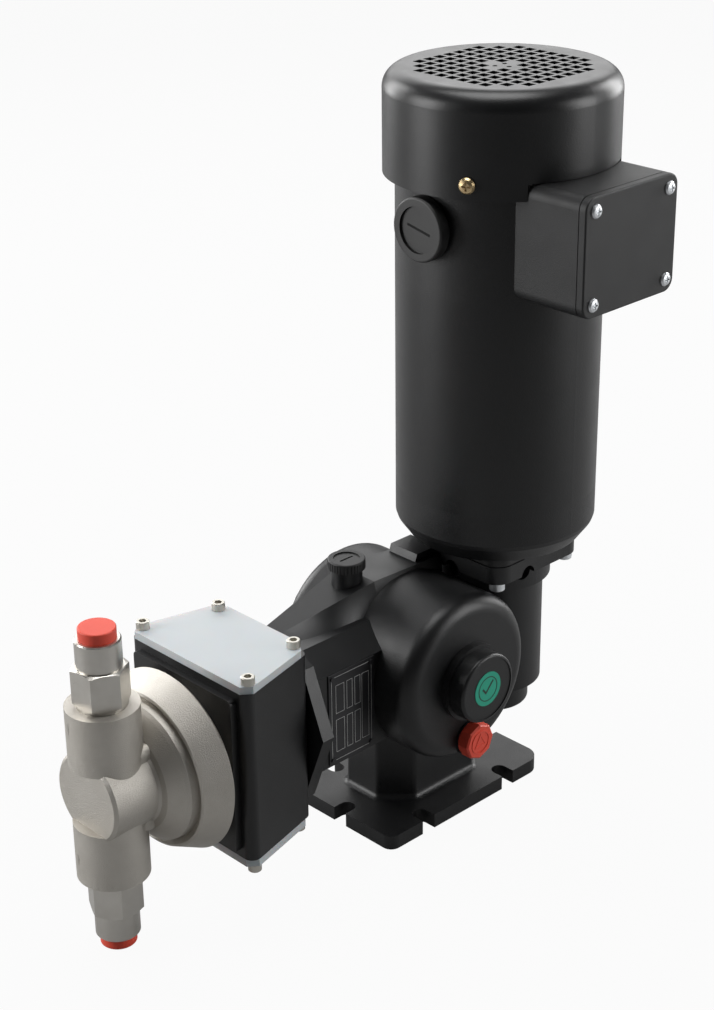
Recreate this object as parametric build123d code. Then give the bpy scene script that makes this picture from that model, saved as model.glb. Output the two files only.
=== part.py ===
from build123d import *
import math
import os

# A plunger metering pump: vertical motor, worm gearbox on a slotted base, spring-returned
# plunger, lantern with two splash covers, and a cast head with ball check valves.
# Millimetres, +Z up. The origin is the centre of the base's underside. The plunger runs
# along -Y towards the head, and the worm wheel's shaft along X.

# Fits and clearances
run_gap = 0.06            # radial, a shaft in its bush or a piston in its bore
move_gap = 0.3            # between parts that pass each other
screw_gap = 0.4           # radial, a screw in its clearance hole
seat_gap = 0.1            # radial, a spigot in its register

# Base plate and pedestal
base_half_x = 48.0
base_half_y = 73.5
base_thick = 10.0
base_corner = 7.0         # front corners
base_rear_corner = 12.0
bolt_x = 40.5             # centre of each slot's round end
bolt_y = 38.5
slot_r = 5.5              # for M10
notch_depth = 12.0        # central notch in the front and rear edges
pedestal_half_x = 25.0
pedestal_half_y = 46.0
pedestal_chamfer = 18.0
pedestal_corner = 4.0     # front left corner
pedestal_round = 5.0
foot_round = 4.0
pedestal_top = 68.0

# Wheel chamber, its axis along X
axis_z = 111.0            # plunger and wheel shaft height
wheel_y = -16.5
barrel_r = 56.5
barrel_x = 58.0           # inner side of the +X end, and open end face on -X
barrel_wall = 6.0
end_round = 11.0          # large edge round of both ends
end_crown = 4.0           # how far the closed end stands out past barrel_x
end_wall = 12.0           # closed end
cover_thick = 9.0
cover_in = 7.5            # the cover's face lies this far inside the open end
ring_deep = 1.5           # circlip groove
ring_wide = 2.0

# Worm, motor axis and worm chamber
motor_x = 16.5
motor_y = 55.5
worm_r_out = 32.7
worm_wall = 3.7
worm_low = 72.0
worm_cap_r = 24.7
worm_cap_low = 53.0
worm_journal_r = 8.5      # lower bearing's seat
worm_neck_r = 14.0        # upper bearing's seat
upper_bearing_z = 149.0
collar_r = 37.5
collar_low = 151.0
flange_half = 41.0        # square flange
flange_corner = 12.0
flange_low = 163.5
flange_thick = 12.0
flange_gap = 0.8          # gasket between the two square flanges
flange_bolt = 33.0        # bolt offset from the axis along X and Y
flange_bolt_r = 3.0

# Filler, oil plug and the boss of the shaft bearing
filler_x = -14.0
filler_y = -51.0
filler_neck_r = 10.2
filler_seat_z = 177.3
filler_thread_r = 7.0
filler_cap_r = 12.2
filler_cap_high = 6.6
oil_plug_y = -15.5
oil_plug_z = 68.5
oil_plug_flats = 23.0
oil_plug_thread_r = 7.0
oil_plug_high = 8.0
oil_boss_r = 12.5
oil_boss_x = 63.0
oil_washer = 1.0
bearing_boss_r = 26.0
bearing_boss_long = 9.0
bearing_cap_r = 23.5
bearing_cap_long = 11.8
bearing_r_out = 17.5
bearing_wide = 11.0

# Gears
gear_module = 3.0
wheel_teeth = 31
wheel_face = 15.0
gear_backlash = 1.3

# Eccentric and crosshead
shaft_r = 10.0
throw = 7.5               # half of the 15 mm stroke
eccentric_r = 18.0
eccentric_ring = 4.5      # wall of the needle ring on the eccentric
eccentric_wide = 13.0
crosshead_r = 22.0
crosshead_long = 24.0
nose_r = 8.0              # crosshead nose, narrow enough to pass beside the wheel
nose_long = 19.0
pad_long = 3.0
crosshead_wall = 4.0
plunger_r = 8.0
spring_wire_r = 1.6
spring_turns = 5.0

# Neck between the wheel chamber and the lantern
guide_plate_r = 28.0
neck_half_x = 32.0
neck_half_z = 37.0
neck_flange_y = -126.0
neck_flange_thick = 9.0
neck_flange_half_x = 52.0
neck_flange_half_z = 57.0
neck_bolt_x = 26.0
neck_bolt_z = 34.0
web_high_z = 170.0
web_low_z = 149.5
web_crest_y = -43.0
web_root_z = 130.0
web_ledge_x = 8.5
web_ledge_z = 149.0
step_y = -6.0
step_z = 175.0

# Nameplate on the neck's side
plate_rear_y = -73.0
plate_long = 39.0
plate_low_z = 75.5
plate_high = 64.0
plate_thick = 0.8

# Lantern
lantern_rear_y = neck_flange_y - neck_flange_thick
lantern_front_y = -196.5
lantern_rear_half = 39.5
lantern_front_half = 55.0
lantern_half_z = 57.0
lantern_wall = 7.0
lantern_corner = 6.0
lantern_cover = 5.0
cover_cut = 6.5           # flat cut across each corner of the covers
pad_thick = 4.5
pad_half_x = 45.0
pad_half_z = 52.0
plunger_window_r = 14.0
gland_window_r = 24.0
cover_screw_r = 2.5       # M5
cover_screw_inset = 6.5

# Head
head_rear_y = lantern_front_y - pad_thick
head_r = 58.0
head_bolt_r = 3.0         # M6
head_bolt_off = 23.0
head_spigot_r = 43.0
head_rim_rear = -209.5
head_rim_front = -228.0
head_rim_front_r = 50.0
boss_r = 44.0
boss_front_y = -232.0
boss_small_r = 33.0
boss_small_y = -241.0
chamber_r_out = 28.0
chamber_front_y = -275.0
chamber_bore_r = 12.0
valve_y = -259.0
valve_r_out = 22.2
valve_half = 57.5         # from the plunger axis to the housing's end faces
valve_inner = 19.0        # from the plunger axis to the floors of the valve bores
rib_half_x = 19.5
rib_half_z = 29.0
packing_r = 15.0
packing_rings = 5
packing_thick = 5.0
gland_flats = 34.4
gland_proud = 8.0

# Valve cartridges
hex_flats = 30.0
hex_high = 24.0
hex_gap = 1.5
pipe_r = 13.7
pipe_high = 17.5
pipe_bore_r = 8.0
valve_bore_r = 15.0
spigot_long = 16.5
seat_thick = 5.0
ball_r = 7.0
stop_thick = 2.0          # bar across the cage that stops the ball after 3 mm
seat_bore_r = 5.0
plug_r = 11.2
plug_proud = 7.0

# Motor
body_r = 65.3
body_wall = 4.0
shield_low = flange_low + flange_thick + flange_gap
shield_neck_z = 196.0
shield_top = 216.8
stator_top = 357.1
cowl_rim = stator_top + 65.9
bracket_top = cowl_rim + 15.0
cowl_r = body_r + 7.7
cowl_wall = 2.0
cowl_high = 63.5
cowl_top = cowl_rim + cowl_high
cowl_round = 12.0
cowl_screw_azimuths = (-63.5, 56.5, 176.5)
cowl_screw_z = cowl_rim + 9.0
cowl_screw_r = 2.5        # M5
cowl_screw_long = 7.0
cowl_lug_half = 6.0
grille_r = cowl_r - 18.0
grille_pitch = 8.8
grille_hole = 6.4
grille_hub_r = 12.0
hub_hole_r = 1.6
hub_hole_off = 5.0
fan_low = bracket_top + 4.0
fan_high = 24.0
fan_r = cowl_r - 13.0
fan_plate = 2.5
fan_hub_wall = 6.0
fan_blades = 7
fan_blade_thick = 2.2
rotor_r = 34.0
rotor_air = 0.4
coil_overhang = 16.0
motor_shaft_r = 9.0
motor_end_r = 7.0         # lower shaft end, held in the worm
motor_bearing_r = 17.5
motor_bearing_wide = 11.0

# Plug of the spare cable entry, on the motor's front
blank_x = motor_x
blank_z = cowl_rim - 23.0
blank_r = 20.0
blank_boss_r = 17.0
blank_boss_proud = 1.5
blank_thread_r = 12.5
blank_high = 7.0

# Terminal box
box_face_x = motor_x + body_r + 38.1
box_half_y = 42.0
box_high = cowl_rim + 10.0
box_low = box_high - 73.5
box_cover = 5.0
box_wall = 3.5
box_corner = 8.0
box_screw_inset = 8.5
box_screw_r = 2.0         # M4
box_screw_long = 8.0
box_post_r = 5.5
box_post_long = 14.0
box_seal = 0.6
box_saddle = 6.0          # least thickness of the box's back over the motor body
wire_hole_half = 15.0     # opening between box and motor
wire_hole_low = box_low + 14.0
cable_entry_r = 10.0      # M20
cable_entry_x = box_face_x - 20.0
cable_entry_z = (box_low + box_high) / 2 - 4.0

# Stroke setting
knob_r = 21.0
knob_long = 17.0
knob_skirt = 3.0
setting_boss_r = 17.0
setting_boss_long = 12.0
setting_screw_r = 4.8

# Worked out from the sizes above
web_end_y = motor_y - flange_half + 1.0
barrel_in = barrel_r - barrel_wall
worm_in = worm_r_out - worm_wall
centre_distance = motor_y - wheel_y
wheel_pitch_r = gear_module * wheel_teeth / 2
worm_pitch_r = centre_distance - wheel_pitch_r
worm_lead = math.pi * gear_module
lead_angle = math.degrees(math.atan(worm_lead / (2 * math.pi * worm_pitch_r)))
swept_r = eccentric_r + eccentric_ring + throw
pad_y = wheel_y - swept_r - move_gap / 2
crosshead_y = pad_y - pad_long - nose_long
crosshead_front = crosshead_y - crosshead_long
bracket_floor = bracket_top - 8.0
lantern_low = axis_z - lantern_half_z
packing_front_y = head_rear_y - 1.0
packing_end_y = packing_front_y - packing_rings * packing_thick
suction_seat_z = axis_z - valve_half + spigot_long
discharge_seat_z = axis_z + valve_inner
ball_seat = math.sqrt(ball_r ** 2 - seat_bore_r ** 2) + 0.03
lantern_high = axis_z + lantern_half_z


def cyl_x(radius, x0, x1, y, z):
    return Pos((x0 + x1) / 2, y, z) * Rot(0, 90, 0) * Cylinder(radius, abs(x1 - x0))


def cyl_y(radius, y0, y1, x, z):
    return Pos(x, (y0 + y1) / 2, z) * Rot(90, 0, 0) * Cylinder(radius, abs(y1 - y0))


def cyl_z(radius, z0, z1, x, y):
    return Pos(x, y, (z0 + z1) / 2) * Cylinder(radius, abs(z1 - z0))


def block(x0, x1, y0, y1, z0, z1):
    return Pos((x0 + x1) / 2, (y0 + y1) / 2, (z0 + z1) / 2) * Box(x1 - x0, y1 - y0, z1 - z0)


def rounded_plate(half_x, half_y, z0, z1, radius, x=0.0, y=0.0):
    face = RectangleRounded(2 * half_x, 2 * half_y, radius)
    return Pos(x, y, z0) * extrude(face, z1 - z0)


def prism_x(outline, x0, x1):
    """An outline of (y, z) points, drawn out along X."""
    face = make_face(Polyline([(x0, y, z) for y, z in outline], close=True))
    return extrude(face, x1 - x0, dir=(1, 0, 0))


def prism_y(outline, y0, y1):
    """An outline of (x, z) points, drawn out along Y."""
    face = make_face(Polyline([(x, y0, z) for x, z in outline], close=True))
    return extrude(face, y1 - y0, dir=(0, 1, 0))


def prism_z(outline, z0, z1):
    """An outline of (x, y) points, drawn out along Z."""
    face = make_face(Polyline([(x, y, z0) for x, y in outline], close=True))
    return extrude(face, z1 - z0, dir=(0, 0, 1))


def turned(points, along, x=0.0, y=0.0, z=0.0):
    """A solid of revolution from (radius, distance along the axis) points."""
    profile = make_face(Polyline([(r, 0, d) for r, d in points], close=True))
    solid = revolve(profile, Axis.Z)
    turn = {"z": Rot(0, 0, 0), "x": Rot(0, 90, 0), "-y": Rot(90, 0, 0)}[along]
    return Pos(x, y, z) * turn * solid


def hexagon_bar(flats, z0, z1, x, y, turn=0.0):
    face = RegularPolygon(flats / 2, 6, major_radius=False)
    return Pos(x, y, z0) * Rot(0, 0, turn) * extrude(face, z1 - z0)


def socket_screw(shank_r, shank_long):
    """Head above the origin with its hexagon socket, shank below along -Z."""
    head_r = shank_r * 1.7
    head_high = shank_r * 2
    head = Pos(0, 0, head_high / 2) * Cylinder(head_r, head_high)
    head = chamfer(head.edges().sort_by(Axis.Z)[-1], head_r * 0.1)
    socket = Pos(0, 0, head_high * 0.45) * extrude(RegularPolygon(shank_r, 6), head_high)
    shank = Pos(0, 0, -shank_long / 2) * Cylinder(shank_r, shank_long)
    return head - socket + shank


def pan_screw(shank_r, head_r, shank_long):
    """Domed head with a cross recess above the origin, shank below along -Z."""
    head_high = head_r * 0.55
    dome = turned([(0, 0), (head_r, 0), (head_r, head_high * 0.35), (head_r * 0.8, head_high * 0.8),
                   (head_r * 0.45, head_high), (0, head_high)], "z")
    slot = Box(head_r * 1.1, head_r * 0.24, head_high)
    cross = Pos(0, 0, head_high) * (slot + Rot(0, 0, 90) * slot)
    return dome - cross + Pos(0, 0, -shank_long / 2) * Cylinder(shank_r, shank_long)


def oriented(solid, direction, x, y, z):
    """Turns a piece whose axis is +Z to point along direction, and places it."""
    turn = {"+z": Rot(0, 0, 0), "-z": Rot(180, 0, 0), "+x": Rot(0, 90, 0), "-x": Rot(0, -90, 0),
            "-y": Rot(90, 0, 0), "+y": Rot(-90, 0, 0)}[direction]
    return Pos(x, y, z) * turn * solid


def group(solids):
    return Compound(children=[s for s in solids])


# Gearbox casting: base, pedestal, wheel chamber, worm chamber, neck and flange
def base_plate():
    plate = block(-base_half_x, base_half_x, -base_half_y, base_half_y, 0, base_thick)
    plate = fillet(plate.edges().filter_by(Axis.Z).group_by(Axis.Y)[0], base_corner)
    plate = fillet(plate.edges().filter_by(Axis.Z).sort_by(Axis.Y)[-2:], base_rear_corner)
    for side in (-1, 1):
        for y in (-bolt_y, bolt_y):
            slot = cyl_z(slot_r, -1, base_thick + 1, side * bolt_x, y)
            edge_x = side * (base_half_x + 5)
            run = block(min(side * bolt_x, edge_x), max(side * bolt_x, edge_x),
                        y - slot_r, y + slot_r, -1, base_thick + 1)
            plate = plate - slot - run
    for end in (-1, 1):
        round_y = end * (base_half_y - notch_depth + slot_r)
        edge_y = end * (base_half_y + 5)
        notch = cyl_z(slot_r, -1, base_thick + 1, 0, round_y)
        run = block(-slot_r, slot_r, min(round_y, edge_y), max(round_y, edge_y), -1, base_thick + 1)
        plate = plate - notch - run
    return plate


def pedestal():
    """Column under the wheel chamber, square at its front left corner, with a rounded foot."""
    x, y, cut = pedestal_half_x, pedestal_half_y, pedestal_chamfer
    outline = [(-x, -y + pedestal_corner), (-x + pedestal_corner, -y), (x - cut, -y), (x, -y + cut),
               (x, y - cut), (x - cut, y), (cut - x, y), (-x, y - cut)]
    column = prism_z(outline, base_thick, pedestal_top)
    column = fillet(column.edges().filter_by(Axis.Z), pedestal_round)
    plate = block(-base_half_x, base_half_x, -base_half_y, base_half_y, base_thick - 1, base_thick)
    foot = plate + column
    inside = [e for e in foot.edges() if abs(e.center().Z - base_thick) < 0.01
              and abs(e.center().X) < pedestal_half_x + 1 and abs(e.center().Y) < pedestal_half_y + 1]
    foot = fillet(inside, foot_round)
    reach = foot_round + 0.5
    return foot & block(-x - reach, x + reach, -y - reach, y + reach, base_thick - 1, pedestal_top)


def round_end(x_face):
    """Half of the drum, from the middle of the chamber to its rounded end face."""
    drum = cyl_x(barrel_r, 0, x_face, wheel_y, axis_z)
    rim = drum.edges().filter_by(GeomType.CIRCLE).sort_by(Axis.X)[-1 if x_face > 0 else 0]
    return fillet(rim, end_round)


def neck_block():
    """Square neck that holds the crosshead guide, with sloping shoulders under the web."""
    shoulder_z = axis_z + neck_half_z - 8
    top_z = axis_z + neck_half_z + 3
    top_half = 12.0
    outline = [(-neck_half_x, axis_z - neck_half_z), (neck_half_x, axis_z - neck_half_z),
               (neck_half_x, shoulder_z), (top_half, top_z), (-top_half, top_z),
               (-neck_half_x, shoulder_z)]
    return prism_y(outline, neck_flange_y, wheel_y - 20)


def web_section(y, left, right, top_z):
    """Cross-section of the web: flat top, +X flank sloping to the ledge on the neck."""
    points = [(left, web_root_z), (left, top_z), (right, top_z), (web_ledge_x, web_ledge_z),
              (web_ledge_x, web_root_z)]
    return make_face(Polyline([(x, y, z) for x, z in points], close=True))


def web():
    """Sloping web from the lantern flange up to the motor flange, with a step near the motor."""
    front = web_section(neck_flange_y, -24.0, -14.0, web_low_z)
    crest = web_section(web_crest_y, -29.0, 3.0, web_high_z)
    back = web_section(web_end_y, -20.0, 6.0, web_high_z)
    rise = loft([front, crest], ruled=True) + loft([crest, back], ruled=True)
    step = prism_x([(step_y, web_high_z - 4), (step_y + 3, step_z), (web_end_y, step_z),
                    (web_end_y, web_high_z - 4)], -22.0, 2.0)
    return rise + step


def neck_flange():
    """Flange that the lantern bolts to, widest at plunger height."""
    half_x = neck_flange_half_x
    half_z = neck_flange_half_z
    outline = [(-half_x, 0), (-half_x * 0.67, half_z * 0.75), (-half_x * 0.38, half_z * 0.86),
               (half_x * 0.38, half_z * 0.86), (half_x * 0.67, half_z * 0.75), (half_x, 0),
               (half_x * 0.64, -half_z * 0.86), (-half_x * 0.64, -half_z * 0.86)]
    return prism_y([(x, axis_z + z) for x, z in outline], lantern_rear_y, neck_flange_y)


def filler_neck():
    return cyl_z(filler_neck_r, web_high_z - 14, filler_seat_z, filler_x, filler_y)


def gearbox_housing():
    cap_room = cyl_z(worm_cap_r + 1.5, worm_cap_low - 2, worm_low, motor_x, motor_y)
    solid = base_plate() + (pedestal() - cap_room)
    solid += round_end(barrel_x + end_crown)
    solid += round_end(-barrel_x)
    solid += neck_block()
    solid += web()
    solid += neck_flange()
    solid += filler_neck()
    solid += cyl_z(worm_r_out, worm_low, collar_low, motor_x, motor_y)
    solid += block(motor_x - 24, motor_x + 24, wheel_y, motor_y, axis_z - 32, axis_z + 32)
    solid += cyl_z(collar_r, collar_low, flange_low + 1, motor_x, motor_y)
    solid += rounded_plate(flange_half, flange_half, flange_low, flange_low + flange_thick,
                           flange_corner, motor_x, motor_y)
    solid += cyl_x(bearing_boss_r, barrel_x - 2, barrel_x + bearing_boss_long, wheel_y, axis_z)
    solid += cyl_x(oil_boss_r, barrel_x - end_wall, oil_boss_x, oil_plug_y, oil_plug_z)
    # Hollows
    solid -= cyl_x(barrel_in, -barrel_x - 1, barrel_x - end_wall, wheel_y, axis_z)
    solid -= cyl_x(barrel_in + ring_deep, -barrel_x + cover_in - ring_wide, -barrel_x + cover_in,
                   wheel_y, axis_z)
    solid -= cyl_z(worm_in, worm_low + 4, flange_low + flange_thick + 1, motor_x, motor_y)
    solid -= cyl_z(worm_cap_r - 6, worm_low - 1, worm_low + 5, motor_x, motor_y)
    solid -= block(motor_x - 19, motor_x + 19, wheel_y, motor_y, axis_z - 27, axis_z + 27)
    solid -= cyl_y(crosshead_r + run_gap, neck_flange_y, wheel_y - 25, 0, axis_z)
    solid -= cyl_y(guide_plate_r + seat_gap, neck_flange_y - neck_flange_thick, neck_flange_y + 0.01,
                   0, axis_z)
    solid -= cyl_x(bearing_r_out, barrel_x - end_wall - 1, barrel_x - end_wall + bearing_wide,
                   wheel_y, axis_z)
    solid -= cyl_x(shaft_r + 2, barrel_x - end_wall, barrel_x + bearing_boss_long + 1, wheel_y, axis_z)
    solid -= cyl_z(filler_thread_r, web_high_z - 30, filler_seat_z + 1, filler_x, filler_y)
    solid -= cyl_x(oil_plug_thread_r, barrel_x - end_wall - 1, oil_boss_x + 1, oil_plug_y,
                   oil_plug_z)
    for dx in (-flange_bolt, flange_bolt):
        for dy in (-flange_bolt, flange_bolt):
            solid -= cyl_z(flange_bolt_r + screw_gap, flange_low - 1, flange_low + flange_thick + 1,
                           motor_x + dx, motor_y + dy)
    for x, z in neck_bolt_places():
        solid -= cyl_y(cover_screw_r, neck_flange_y + 1, lantern_rear_y - 1, x, z)
    # Half-round notch under the square flange, for a lever to part the joint
    solid -= cyl_y(6, motor_y - flange_half - 1, motor_y - flange_half + 8, motor_x, flange_low)
    solid -= cyl_x(6, motor_x + flange_half - 8, motor_x + flange_half + 1, motor_y - 12, flange_low)
    return solid


def neck_bolt_places():
    """(x, z) of the screws from the lantern into the gearbox flange."""
    return [(sx * neck_bolt_x, axis_z + sz * neck_bolt_z) for sx in (-1, 1) for sz in (-1, 1)]


def nameplate():
    """Thin plate riveted to the neck's side, left blank."""
    x0 = neck_half_x
    plate = block(x0, x0 + plate_thick, plate_rear_y - plate_long, plate_rear_y, plate_low_z,
                  plate_low_z + plate_high)
    rivets = [cyl_x(1.6, x0, x0 + 1.7, y, z)
              for y in (plate_rear_y - plate_long + 3, plate_rear_y - 3)
              for z in (plate_low_z + 3, plate_low_z + plate_high - 3)]
    return plate + rivets


def bearing(r_out, r_in, wide):
    """Ball bearing about Z, standing on the origin: two rings, balls, and shields left off."""
    mid = (r_out + r_in) / 2
    ball = (r_out - r_in) * 0.27
    ring_out = Pos(0, 0, wide / 2) * (Cylinder(r_out, wide) - Cylinder(mid + ball * 0.75, wide))
    ring_in = Pos(0, 0, wide / 2) * (Cylinder(mid - ball * 0.75, wide) - Cylinder(r_in, wide))
    groove = Pos(0, 0, wide / 2) * Torus(mid, ball + 0.05)
    balls = [Pos(mid * math.cos(a), mid * math.sin(a), wide / 2) * Sphere(ball)
             for a in [i * math.tau / 8 for i in range(8)]]
    return [ring_out - groove, ring_in - groove] + balls


def side_cover():
    x0 = -barrel_x + cover_in
    disc = cyl_x(barrel_in - seat_gap, x0, x0 + cover_thick, wheel_y, axis_z)
    disc -= cyl_x(barrel_in + 1, x0 + 4, x0 + 6.5, wheel_y, axis_z) - cyl_x(
        barrel_in - 2.4, x0 + 4, x0 + 6.5, wheel_y, axis_z)
    hub = cyl_x(bearing_r_out + 4, x0 + cover_thick, x0 + cover_thick + bearing_wide, wheel_y, axis_z)
    boss = cyl_x(setting_boss_r, -barrel_x - setting_boss_long, x0, wheel_y, axis_z)
    pocket = cyl_x(bearing_r_out, x0 + cover_thick, x0 + cover_thick + bearing_wide + 1, wheel_y, axis_z)
    bore = cyl_x(setting_screw_r + run_gap, -barrel_x - 30, 0, wheel_y, axis_z)
    return disc + hub + boss - pocket - bore


def cover_circlip():
    x1 = -barrel_x + cover_in
    ring = cyl_x(barrel_in + ring_deep - 0.2, x1 - ring_wide + 0.1, x1 - 0.05, wheel_y, axis_z)
    ring -= cyl_x(barrel_in - 3, x1 - ring_wide, x1, wheel_y, axis_z)
    return ring - block(x1 - 5, x1 + 5, wheel_y - 4, wheel_y + 4, axis_z + 30, axis_z + 60)


def cover_oring():
    x0 = -barrel_x + cover_in + 5.25
    return Pos(x0, wheel_y, axis_z) * Rot(0, 90, 0) * Torus(barrel_in - 1.2, 1.15)


def bearing_cap():
    """Pressed cap on the closed end, slightly dished face."""
    x0 = barrel_x + bearing_boss_long
    cap = cyl_x(bearing_cap_r, x0, x0 + bearing_cap_long, wheel_y, axis_z)
    cap = fillet(cap.edges().sort_by(Axis.X)[-1], 2)
    face = x0 + bearing_cap_long
    cap -= cyl_x(bearing_cap_r - 2.2, face - 0.6, face + 1, wheel_y, axis_z)
    cap += cyl_x(shaft_r + 2 - seat_gap, x0 - 5, x0, wheel_y, axis_z)
    return cap


def worm_cap():
    cup = cyl_z(worm_cap_r, worm_cap_low, worm_low, motor_x, motor_y)
    cup = fillet(cup.edges().sort_by(Axis.Z)[0], 3)
    cup += cyl_z(worm_cap_r - 6 - seat_gap, worm_low, worm_low + 4, motor_x, motor_y)
    return cup - cyl_z(bearing_r_out, worm_cap_low + 6, worm_low + 5, motor_x, motor_y)


def worm():
    """Right-hand single-start worm with its journals, hollow at the top for the motor shaft."""
    root = worm_pitch_r - 1.2 * gear_module
    tip = worm_pitch_r + gear_module - 0.2
    low = axis_z - 3.5 * worm_lead
    high = axis_z + 3.5 * worm_lead
    half_tip = (worm_lead / 2 - gear_backlash) / 2 - gear_module * math.tan(math.radians(20))
    half_root = half_tip + 2.2 * gear_module * math.tan(math.radians(20))
    path = Helix(worm_lead, high - low - worm_lead, root)
    profile = make_face(Polyline([(root - 0.5, 0, -half_root), (tip, 0, -half_tip), (tip, 0, half_tip),
                                  (root - 0.5, 0, half_root)], close=True))
    thread = Pos(0, 0, low + worm_lead / 2) * sweep(profile, path, is_frenet=True)
    # A thread space, not a crest, faces the wheel's tooth at shaft height
    turn = 90 - 360 * ((axis_z - low - worm_lead / 2) % worm_lead) / worm_lead
    core = Pos(0, 0, (low + high) / 2) * Cylinder(root, high - low)
    body = core + Rot(0, 0, turn) * thread
    body += Pos(0, 0, (worm_cap_low + 9 + low) / 2) * Cylinder(worm_journal_r, low - worm_cap_low - 9)
    body += Pos(0, 0, (high + upper_bearing_z + 16) / 2) * Cylinder(worm_neck_r, upper_bearing_z + 16 - high)
    body -= Pos(0, 0, upper_bearing_z + 16 - 15) * Cylinder(motor_end_r + seat_gap, 31)
    return Pos(motor_x, motor_y, 0) * body


def worm_wheel():
    """Wheel with teeth leaned to the worm's lead, on a webbed bronze rim."""
    tip_r = wheel_pitch_r + gear_module
    root_r = wheel_pitch_r - 1.2 * gear_module
    half_pitch = math.pi * gear_module / 4 - gear_backlash / 4
    flank = math.tan(math.radians(20)) * gear_module
    root = (half_pitch + 1.2 * flank, -1.2 * gear_module - 0.6)
    tip = (half_pitch - flank + 0.15, gear_module - 0.3)
    outline = [(-root[0], root[1]), root, tip, (-tip[0], tip[1])]
    face = make_face(Polyline([(-wheel_face / 2, y, wheel_pitch_r + z) for y, z in outline], close=True))
    tooth = extrude(face, wheel_face, dir=(1, 0, 0))
    tooth = Rot(0, 0, -lead_angle) * tooth
    rim = Rot(0, 90, 0) * Cylinder(root_r, wheel_face)
    rim -= Rot(0, 90, 0) * Cylinder(shaft_r + seat_gap / 4, wheel_face + 2)
    for side in (-1, 1):
        dish = Cylinder(root_r - 7, 4) - Cylinder(shaft_r + 8, 4)
        rim -= Pos(side * wheel_face / 2, 0, 0) * Rot(0, 90, 0) * dish
    teeth = [Rot(i * 360 / wheel_teeth + 90 + 180 / wheel_teeth, 0, 0) * tooth for i in range(wheel_teeth)]
    wheel = rim + teeth
    wheel = wheel & Rot(0, 90, 0) * Cylinder(tip_r - 0.3, wheel_face)
    return Pos(motor_x, wheel_y, axis_z) * wheel


def eccentric_shaft():
    """Shaft, with the eccentric turned on it, bored at the -X end for the setting rod."""
    left = -barrel_x + cover_in + cover_thick + move_gap
    right = barrel_x - end_wall + bearing_wide
    solid = cyl_x(shaft_r, left, right, wheel_y, axis_z)
    solid += cyl_x(eccentric_r, -eccentric_wide / 2, eccentric_wide / 2, wheel_y - throw, axis_z)
    return solid - cyl_x(setting_screw_r + move_gap, left, left + 20, wheel_y, axis_z)


def eccentric_ring_solid():
    ring = cyl_x(eccentric_r + eccentric_ring, -eccentric_wide / 2 + 0.5, eccentric_wide / 2 - 0.5,
                 wheel_y - throw, axis_z)
    return ring - cyl_x(eccentric_r + run_gap, -eccentric_wide, eccentric_wide, wheel_y - throw, axis_z)


def shaft_bearings():
    one = group(bearing(bearing_r_out - 0.02, shaft_r + 0.02, bearing_wide))
    right = oriented(one, "+x", barrel_x - end_wall, wheel_y, axis_z)
    left = oriented(one, "+x", -barrel_x + cover_in + cover_thick, wheel_y, axis_z)
    return group(right.solids() + left.solids())


def worm_bearings():
    lower = group(bearing(bearing_r_out - 0.02, worm_journal_r + 0.02, 12))
    upper = group(bearing(worm_in - 0.02, worm_neck_r + 0.02, 13))
    low = Pos(motor_x, motor_y, worm_cap_low + 6) * lower
    high = Pos(motor_x, motor_y, upper_bearing_z) * upper
    return group(low.solids() + high.solids())


def crosshead():
    body = cyl_y(crosshead_r, crosshead_y, crosshead_front, 0, axis_z)
    body -= cyl_y(crosshead_r - crosshead_wall, crosshead_y - 9, crosshead_front - 1, 0, axis_z)
    body += cyl_y(nose_r, pad_y - pad_long, crosshead_y, 0, axis_z)
    body += cyl_y(plunger_r + 4, crosshead_y - 8, crosshead_front + 4, 0, axis_z)
    return body - cyl_y(plunger_r, crosshead_y - 4, crosshead_front - 1, 0, axis_z)


def thrust_pad():
    pad = cyl_y(nose_r, pad_y, pad_y - pad_long, 0, axis_z)
    return chamfer(pad.edges().sort_by(Axis.Y)[-1], 0.6)


def plunger():
    tip_y = head_rim_front - 12
    rod = cyl_y(plunger_r, crosshead_y - 4, tip_y, 0, axis_z)
    return chamfer(rod.edges().sort_by(Axis.Y)[0], 1.0)


def return_spring():
    seat = crosshead_y - 9
    coil_r = crosshead_r - crosshead_wall - spring_wire_r - 0.4
    long = seat - neck_flange_y - 2 * spring_wire_r - 2 * move_gap
    path = Helix(long / spring_turns, long, coil_r)
    wire = sweep(Plane(origin=path @ 0, z_dir=path % 0) * Circle(spring_wire_r), path, is_frenet=True)
    return Pos(0, seat - move_gap - spring_wire_r, axis_z) * Rot(90, 0, 0) * wire


def guide_plate():
    plate = cyl_y(guide_plate_r, neck_flange_y, lantern_rear_y, 0, axis_z)
    return plate - cyl_y(plunger_r + run_gap, neck_flange_y + 1, lantern_rear_y - 1, 0, axis_z) - cyl_y(
        plunger_r + 5, lantern_rear_y + 4, lantern_rear_y - 1, 0, axis_z)


def rod_seal():
    ring = cyl_y(plunger_r + 5, lantern_rear_y + 4, lantern_rear_y, 0, axis_z)
    return ring - cyl_y(plunger_r + run_gap, lantern_rear_y + 5, lantern_rear_y - 1, 0, axis_z)


def lantern_outline(inset):
    rear = lantern_rear_half - inset
    front = lantern_front_half - inset
    return [(-front, lantern_front_y + inset), (front, lantern_front_y + inset),
            (rear, lantern_rear_y - inset), (-rear, lantern_rear_y - inset)]


def lantern_prism(inset, z0, z1, radius):
    solid = prism_z(lantern_outline(inset), z0, z1)
    return fillet(solid.edges().filter_by(Axis.Z), radius)


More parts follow.
